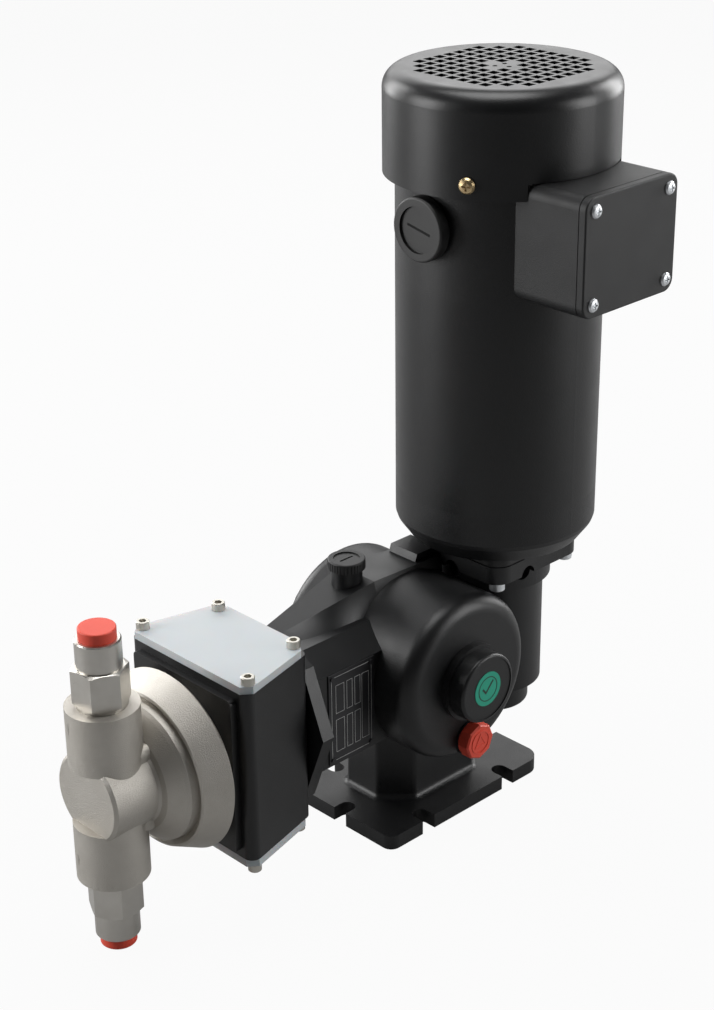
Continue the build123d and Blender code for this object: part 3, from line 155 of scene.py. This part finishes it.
# Pump head
# Investment cast in stainless steel and blasted, so it is an even warm grey with a fine
# grain and no shine of its own.
cast_steel = Finish("blasted_stainless", metallic=1.0)
stain = cast_steel.noise(scale=28.0, detail=4.0, roughness=0.6)
cast_steel.looks("Base Color", cast_steel.blend(stain, (0.44, 0.415, 0.375), (0.60, 0.575, 0.53)))
cast_steel.looks("Roughness", 0.36 + 0.20 * cast_steel.noise(scale=220.0, detail=3.0))
grit = cast_steel.noise(scale=1500.0, detail=3.0, roughness=0.7)
cast_steel.relief(grit, depth=0.0005, strength=0.7)
cast_steel.on("pump_head")


# Turned stainless parts
# Valve connections, seats, cages, balls, gland and plunger: turned from stainless bar and
# left bright, so they are a little paler and smoother than the head.
turned_steel = Finish("turned_stainless", metallic=1.0)
smear = turned_steel.noise(scale=90.0)
turned_steel.looks("Base Color", turned_steel.blend(smear, (0.54, 0.515, 0.47), (0.66, 0.64, 0.60)))
turned_steel.looks("Roughness", 0.24 + 0.14 * turned_steel.noise(scale=340.0))
turned_steel.relief(turned_steel.noise(scale=1900.0), depth=0.0001, strength=0.35)
turned_steel.on("discharge_connection", "suction_connection", "discharge_seat", "suction_seat",
                "discharge_cage", "suction_cage", "discharge_ball", "suction_ball", "gland",
                "plunger")


# Inner steel parts
# Shafts, bearings, worm, crosshead and spring: ground or hardened steel with a film of oil.
# The worm wheel is bronze, and the cores of the motor are stacks of dark sheet iron.
inner_steel = Finish("inner_steel", metallic=1.0, base_color=(0.52, 0.52, 0.53))
inner_steel.looks("Roughness", 0.22 + 0.12 * inner_steel.noise(scale=160.0))
inner_steel.on("shaft_bearings", "worm_bearings", "motor_bearings", "rotor_shaft",
               "eccentric_shaft", "eccentric_ring", "crosshead", "thrust_pad", "worm",
               "return_spring", "setting_rod", "guide_plate", "cover_circlip")
bronze = Finish("wheel_bronze", metallic=1.0, base_color=(0.58, 0.38, 0.17))
bronze.looks("Roughness", 0.30 + 0.12 * bronze.noise(scale=140.0))
bronze.on("worm_wheel")
iron = Finish("core_iron", metallic=0.8, base_color=(0.16, 0.155, 0.15))
iron.looks("Roughness", 0.50 + 0.15 * iron.noise(scale=120.0))
iron.on("stator_core", "rotor_core")


# Screws
# Zinc-plated screws on the motor flange and terminal box, stainless socket screws on the
# lantern and head, and three yellow-passivated ones that hold the cowl.
def screw_metal(name, colour, gloss, change):
    """Plated or bare steel of small screws, with a gloss that changes from spot to spot."""
    metal = Finish(name, metallic=1.0, base_color=colour)
    metal.looks("Roughness", gloss + change * metal.noise(scale=420.0))
    return metal


zinc = screw_metal("zinc_plating", (0.70, 0.72, 0.74), gloss=0.38, change=0.16)
zinc.on("flange_screws", "terminal_screws")
steel_screw = screw_metal("stainless_screws", (0.55, 0.53, 0.48), gloss=0.30, change=0.16)
steel_screw.on("cover_screws", "lantern_screws", "head_screws")
yellow_zinc = screw_metal("yellow_passivated_zinc", (0.66, 0.50, 0.28), gloss=0.26, change=0.14)
yellow_zinc.on("cowl_screws")


# Splash covers
# Two flat plates of milky plastic, screwed over the open top and bottom of the lantern. A
# little light goes into them.
milky = Finish("milky_plastic", subsurface_weight=0.15, roughness=0.5)
haze = milky.noise(scale=30.0)
milky.looks("Base Color", milky.blend(haze, (0.48, 0.495, 0.515), (0.53, 0.545, 0.56)))
milky.relief(milky.noise(scale=500.0, detail=1.0), depth=0.0001, strength=0.2)
milky.on("top_splash_cover", "bottom_splash_cover")


# Red plastic plugs
# Oil plug of the gearbox and the two transport plugs of the pipe ends, moulded in red plastic
# and a little dull.
red = Finish("red_plastic", roughness=0.48)
red.looks("Base Color", red.blend(red.noise(scale=80.0), (0.68, 0.060, 0.032), (0.78, 0.080, 0.042)))
red.on("oil_plug", "discharge_plug", "suction_plug")


# Seals
# O-ring of the side cover, rod seal, packing and the two gaskets, all in matte black rubber.
rubber = Finish("seal_rubber", base_color=(0.02, 0.02, 0.02), roughness=0.7)
rubber.on("cover_oring", "rod_seal", "packing_rings", "flange_gasket", "terminal_gasket")


# Nameplate
# A thin anodised plate, riveted to the side of the gearbox's neck at its four corners.
plate_black = Finish("anodised_plate", metallic=0.3, base_color=(0.022, 0.022, 0.024))
plate_black.looks("Roughness", 0.32 + 0.1 * plate_black.noise(scale=200.0))
plate_black.on("nameplate")


# Inspection disc
# A round green sticker with a plain tick in a ring, on the dished face of the bearing cap.
# The ring and the tick are printed in dark ink.
DISC_ACROSS = 0.0235
DISC_THICK = 0.0003
CAP_DISH = 0.0006
INK_THICK = 0.0001
RING_OUTER = 0.0086
RING_INNER = 0.0080
TICK = [(-0.0052, 0.0006), (-0.0019, -0.0034), (0.0052, 0.0044), (0.0043, 0.0053), (-0.0018, -0.0014),
        (-0.0043, 0.0015)]
OUT_X, ALONG_Y, ALONG_Z = Vector((1, 0, 0)), Vector((0, 1, 0)), Vector((0, 0, 1))


def piece(name, points, faces, finish, body):
    """A mesh piece in the row frame, in its finish, riding on its body."""
    mesh = bpy.data.meshes.new(name)
    mesh.from_pydata(points, [], faces)
    mesh.validate()
    made = bpy.data.objects.new(name, mesh)
    bpy.context.collection.objects.link(made)
    finish.on(made)
    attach(made, body)
    return made


def middle_of(name):
    """The middle of a node's box at rest."""
    low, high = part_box(name)
    return Vector([(a + b) / 2 for a, b in zip(low, high)])


def plate_faces(count):
    """Faces of a plate with that many points in its outline, with its underside first."""
    faces = [tuple(range(count))[::-1], tuple(range(count, 2 * count))]
    return faces + [(i, (i + 1) % count, count + (i + 1) % count, count + i) for i in range(count)]


def plate_from(outline, thick, origin, across, up):
    """Points and faces of a flat plate with an outline of points across and up."""
    normal = across.cross(up)
    flat = [origin + across * u + up * v for u, v in outline]
    return flat + [p + normal * thick for p in flat], plate_faces(len(outline))


def band_from(outer, inner, thick, origin, across, up):
    """Points and faces of a flat band between two outlines with the same number of points."""
    rim, _ = plate_from(outer, thick, origin, across, up)
    hole, _ = plate_from(inner, thick, origin, across, up)
    count = len(outer)
    faces = []
    for i in range(count):
        j = (i + 1) % count
        faces += [(count + i, count + j, 3 * count + j, 3 * count + i),
                  (i, 2 * count + i, 2 * count + j, j),
                  (i, j, count + j, count + i),
                  (2 * count + i, 3 * count + i, 3 * count + j, 2 * count + j)]
    return rim + hole, faces


def polygon(radius, sides=64, start=0.0):
    """Outline of a regular polygon, which is a circle to the eye with its usual sides."""
    turns = [start + 2 * math.pi * i / sides for i in range(sides)]
    return [(radius * math.cos(t), radius * math.sin(t)) for t in turns]


green = Finish("green_sticker", base_color=(0.010, 0.34, 0.22), roughness=0.42)
ink = Finish("dark_ink", base_color=(0.01, 0.03, 0.02), roughness=0.45)
disc_middle = middle_of("bearing_cap")
disc_middle.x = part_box("bearing_cap")[1][0] - CAP_DISH
disc_mesh = plate_from(polygon(DISC_ACROSS / 2), DISC_THICK, disc_middle, ALONG_Y, ALONG_Z)
sticker = piece("inspection_disc", *disc_mesh, green, "body")
on_disc = disc_middle + OUT_X * DISC_THICK
ring_mesh = band_from(polygon(RING_OUTER), polygon(RING_INNER), INK_THICK, on_disc, ALONG_Y, ALONG_Z)
ring = piece("inspection_ring", *ring_mesh, ink, "body")
tick = piece("inspection_tick", *plate_from(TICK, INK_THICK, on_disc, ALONG_Y, ALONG_Z), ink, "body")


# Nameplate print
# Outlines of blank fields in pale ink. The plate stands on its end, so its rows run upwards.
# Each field has its place on the plate and half its width and height.
PLATE_THICK = 0.0008
PRINT_THICK = 0.00006
PRINT_LINE = 0.00022
FIELDS = (("edge", 0.0, 0.0, 0.0172, 0.0297), ("heading", 0.0118, 0.0, 0.0030, 0.0235),
          ("row_1", 0.0050, -0.0125, 0.0024, 0.0115), ("row_2", 0.0050, 0.0135, 0.0024, 0.0100),
          ("row_3", -0.0018, -0.0125, 0.0024, 0.0115), ("row_4", -0.0018, 0.0135, 0.0024, 0.0100),
          ("row_5", -0.0100, -0.0125, 0.0036, 0.0115), ("row_6", -0.0100, 0.0135, 0.0036, 0.0100))


def rectangle(half_wide, half_tall):
    return [(-half_wide, -half_tall), (half_wide, -half_tall), (half_wide, half_tall),
            (-half_wide, half_tall)]


pale_ink = Finish("pale_ink", base_color=(0.55, 0.55, 0.54), roughness=0.5)
plate_middle = middle_of("nameplate")
plate_middle.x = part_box("nameplate")[0][0] + PLATE_THICK
for word, along, above, half_wide, half_tall in FIELDS:
    place = plate_middle + ALONG_Y * along + ALONG_Z * above
    field_mesh = band_from(rectangle(half_wide, half_tall),
                           rectangle(half_wide - PRINT_LINE, half_tall - PRINT_LINE),
                           PRINT_THICK, place, ALONG_Y, ALONG_Z)
    field = piece("nameplate_" + word, *field_mesh, pale_ink, "body")


# Triangle on the oil plug
# The outline of a triangle, moulded on the plug's face inside its raised ring.
TRIANGLE_OUTER = 0.0064
TRIANGLE_INNER = 0.0044
TRIANGLE_HIGH = 0.0007
PLUG_RING = 0.0008
plug_face = middle_of("oil_plug")
plug_face.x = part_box("oil_plug")[1][0] - PLUG_RING
triangle_mesh = band_from(polygon(TRIANGLE_OUTER, sides=3, start=math.pi / 2),
                          polygon(TRIANGLE_INNER, sides=3, start=math.pi / 2),
                          TRIANGLE_HIGH, plug_face, ALONG_Y, ALONG_Z)
mark = piece("oil_plug_triangle", *triangle_mesh, red, "body")


# Face of the spare entry's plug
# The recessed floor of the moulded plug. Its slot for a screwdriver is not cut: it is a thin
# near-black bar of painted shade laid on the floor. The plug is screwed in until the slot falls
# a little to the right.
FACE_DEPTH = 0.0020
FACE_R = 0.0143
FACE_THICK = 0.0003
SLOT_FALL = math.radians(11.5)
SLOT_HALF_LONG = 0.0095
SLOT_HALF_WIDE = 0.0008
SHADE_THICK = 0.00005
face_place = middle_of("blanking_plug")
face_place.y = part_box("blanking_plug")[0][1] + FACE_DEPTH
face_mesh = plate_from(polygon(FACE_R), FACE_THICK, face_place, OUT_X, ALONG_Z)
face_disc = piece("blanking_plug_floor", *face_mesh, black_plastic, "body")
# Painted shade: a thin near-black bar on the floor stands in for the slot's groove, which is not cut.
painted_shade = Finish("painted_slot_shade", base_color=(0.002, 0.002, 0.002), roughness=0.9)
slot_along = OUT_X * math.cos(SLOT_FALL) - ALONG_Z * math.sin(SLOT_FALL)
slot_up = ALONG_Z * math.cos(SLOT_FALL) + OUT_X * math.sin(SLOT_FALL)
slot_shade_mesh = plate_from(rectangle(SLOT_HALF_LONG, SLOT_HALF_WIDE), SHADE_THICK,
                       face_place - ALONG_Y * FACE_THICK, slot_along, slot_up)
slot_shade_bar = piece("blanking_plug_slot_painted_shade", *slot_shade_mesh, painted_shade, "body")


# Flow arrows
# A small arrow cast on the front of each valve housing and bent round it, pointing from the
# suction side to the discharge side.
ARROW = [(-0.0007, -0.0032), (0.0007, -0.0032), (0.0007, 0.0010), (0.0020, 0.0006), (0.0, 0.0036),
         (-0.0020, 0.0006), (-0.0007, 0.0010)]
ARROW_TURN = math.radians(-13)
ARROW_PROUD = 0.0002
ARROW_SUNK = 0.0004
ARROW_HEIGHTS = {"discharge": 0.158, "suction": 0.069}
valve_axis_y = middle_of("discharge_connection").y
housing_r = valve_axis_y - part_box("pump_head")[0][1]
for word, height in ARROW_HEIGHTS.items():
    points = []
    for radius in (housing_r - ARROW_SUNK, housing_r + ARROW_PROUD):
        for across, up in ARROW:
            turn = ARROW_TURN + across / housing_r
            points.append((radius * math.sin(turn), valve_axis_y - radius * math.cos(turn), height + up))
    arrow = piece(word + "_flow_arrow", points, plate_faces(len(ARROW)), cast_steel, "body")


# Camera
# At the photograph's place and angle, with the lens worked out from the same match. Turn is
# from the front towards the right, tilt is downwards, and roll is about the line of sight.
PHOTO_TALL = 1010
FOCAL_PIXELS = 2055.22
SENSOR = 36.0
FAR_CLIP = 60.0
CAMERA_PLACE = Vector((0.84272, -0.86064, 0.76401))
TURN, TILT, ROLL = (math.radians(a) for a in (46.27, 24.74, -0.71))
ahead = Vector((-math.sin(TURN) * math.cos(TILT), math.cos(TURN) * math.cos(TILT), -math.sin(TILT)))
level = Vector((math.cos(TURN), math.sin(TURN), 0))
upright = level.cross(ahead)
camera_right = level * math.cos(ROLL) + upright * math.sin(ROLL)
camera_up = upright * math.cos(ROLL) - level * math.sin(ROLL)
lens = bpy.data.cameras.new("camera")
lens.sensor_fit = "VERTICAL"
lens.sensor_height = SENSOR
lens.lens = FOCAL_PIXELS * SENSOR / PHOTO_TALL
lens.clip_end = FAR_CLIP
camera = bpy.data.objects.new("camera", lens)
bpy.context.collection.objects.link(camera)
stand = Matrix((camera_right, camera_up, -ahead)).transposed().to_4x4()
stand.translation = CAMERA_PLACE
camera.matrix_world = stand
bpy.context.scene.camera = camera


# Studio
# A plain pale floor that runs into a white room. The camera sees both as white, and metal and
# paint show a little of it. Large soft boxes stand around the pump, and one hangs above it.
FLOOR_HALF = 12.0
GLOW_SHARE = 0.95
FLOOR_SHEEN = 0.10
ROOM_FILL = 0.03
floor_mesh = bpy.data.meshes.new("floor")
floor_corners = [(u, v, 0) for u, v in rectangle(FLOOR_HALF, FLOOR_HALF)]
floor_mesh.from_pydata(floor_corners, [], [(0, 1, 2, 3)])
floor = bpy.data.objects.new("floor", floor_mesh)
bpy.context.collection.objects.link(floor)
floor_paint = Finish("pale_floor", base_color=(0.25, 0.25, 0.25), roughness=0.9)
seen = floor_paint.add("ShaderNodeLightPath")
glow = floor_paint.add("ShaderNodeEmission", Color=(1.0, 1.0, 1.0), Strength=1.0)
share = floor_paint.add("ShaderNodeMixShader")
floor_paint.fill(share, "Fac", (GLOW_SHARE * Value(seen.outputs["Is Camera Ray"])
                                + FLOOR_SHEEN * Value(seen.outputs["Is Glossy Ray"])))
floor_paint.tree.links.new(floor_paint.shader.outputs[0], share.inputs[1])
floor_paint.tree.links.new(glow.outputs[0], share.inputs[2])
floor_paint.tree.links.new(share.outputs[0], floor_paint.tree.nodes["Material Output"].inputs[0])
floor_paint.on(floor)

room = bpy.data.worlds.new("room")
room.use_nodes = True
bpy.context.scene.world = room
room_light = room.node_tree.nodes["Background"]
room_light.inputs["Color"].default_value = (1, 1, 1, 1)
looked_at = room.node_tree.nodes.new("ShaderNodeLightPath")
direct = Value(looked_at.outputs["Is Camera Ray"]) + Value(looked_at.outputs["Is Transmission Ray"])
room_strength = ROOM_FILL + (1 - ROOM_FILL) * direct
room.node_tree.links.new(room_strength.socket, room_light.inputs["Strength"])

LAMPS_AIM = Vector((0.0, -0.05, 0.22))


def soft_box(name, place, wide, tall, watts):
    """A rectangular area lamp that faces the middle of the pump."""
    light = bpy.data.lights.new(name, "AREA")
    light.shape = "RECTANGLE"
    light.size = wide
    light.size_y = tall
    light.energy = watts
    lamp = bpy.data.objects.new(name, light)
    bpy.context.collection.objects.link(lamp)
    lamp.location = place
    lamp.rotation_euler = (LAMPS_AIM - Vector(place)).to_track_quat("-Z", "Y").to_euler()


soft_box("front_box", (-1.1, -1.6, 0.7), wide=0.9, tall=1.4, watts=30.0)
soft_box("side_box", (1.5, 1.1, 0.7), wide=0.8, tall=1.2, watts=19.0)
soft_box("top_box", (-0.1, 0.0, 1.9), wide=1.0, tall=1.0, watts=20.0)
soft_box("rear_box", (-1.35, 1.25, 1.2), wide=1.8, tall=1.2, watts=15.0)
soft_box("rear_left_box", (-1.9, -0.1, 0.8), wide=0.8, tall=1.4, watts=24.0)
soft_box("rear_right_box", (0.1, 1.9, 0.8), wide=0.8, tall=1.4, watts=26.0)
bpy.context.scene.view_settings.view_transform = "Standard"
